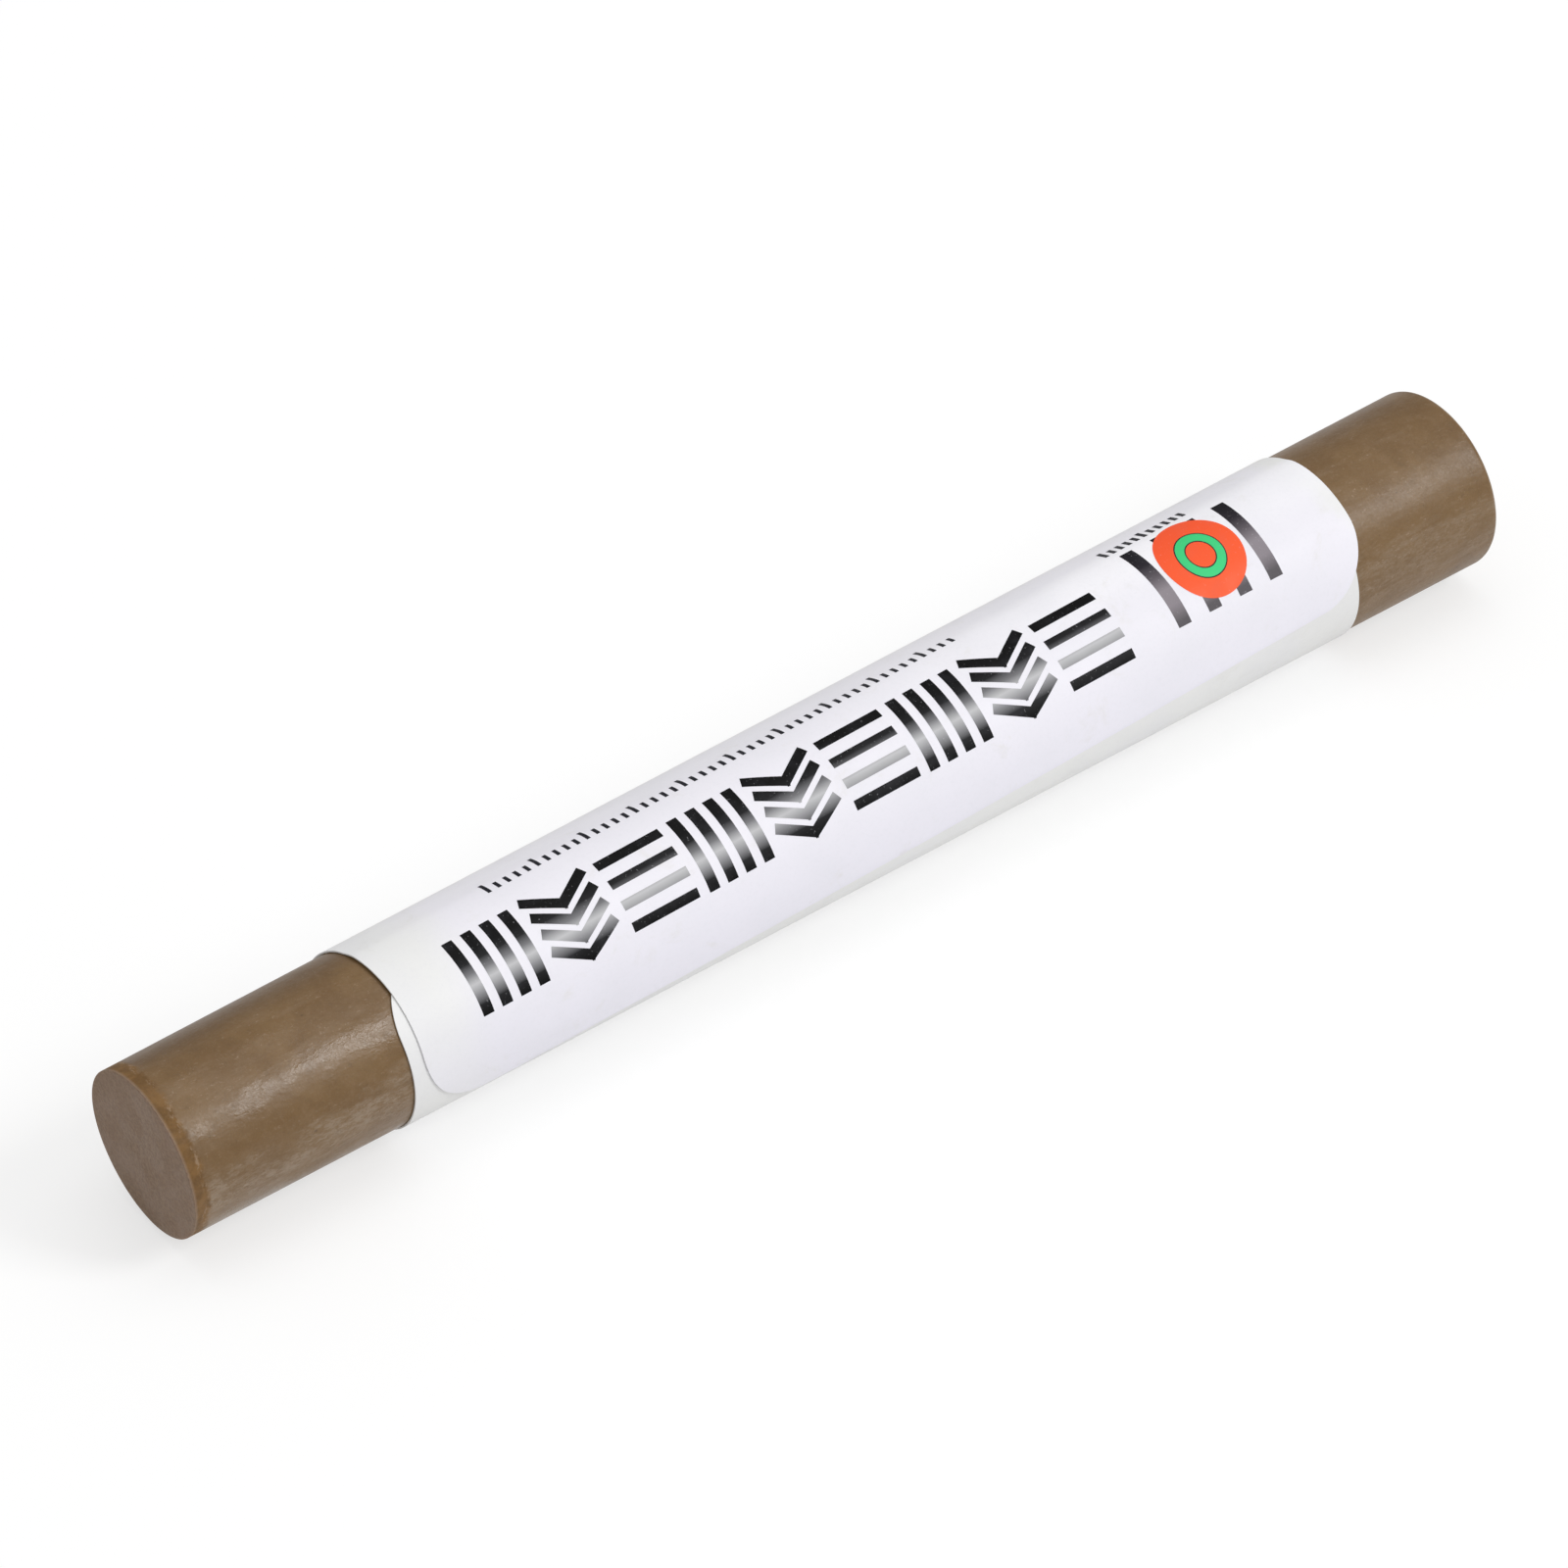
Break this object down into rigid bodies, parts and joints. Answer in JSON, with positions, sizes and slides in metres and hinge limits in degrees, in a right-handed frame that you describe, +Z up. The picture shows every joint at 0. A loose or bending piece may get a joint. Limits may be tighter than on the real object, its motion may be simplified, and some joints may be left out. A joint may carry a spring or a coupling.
{
  "type": "furniture repair wax stick",
  "caption": "Tapered round stick of brown filler wax with flat ends and a white self-adhesive paper label wrapped once round its middle and lapped over its own start.",
  "frame": {"origin": "on the ground, below the middle of the stick as it lies on its side", "axes": "+X along the stick's axis from its narrow near end to its wide far end, +Z up, +Y to the side away from the label's free edge"},
  "size_m": [0.0968, 0.0116, 0.0117],
  "materials": {
    "filler_wax": "cast brown wax, waxy satin with paler bloom streaks",
    "label_adhesive": "dried pressure-sensitive adhesive, pale cream",
    "label_paper": "glossy white coated paper, printed"
  },
  "bodies": {
    "root": {"wax_stick": "filler_wax", "label_adhesive": "label_adhesive", "label_paper": "label_paper"}
  },
  "joints": []
}
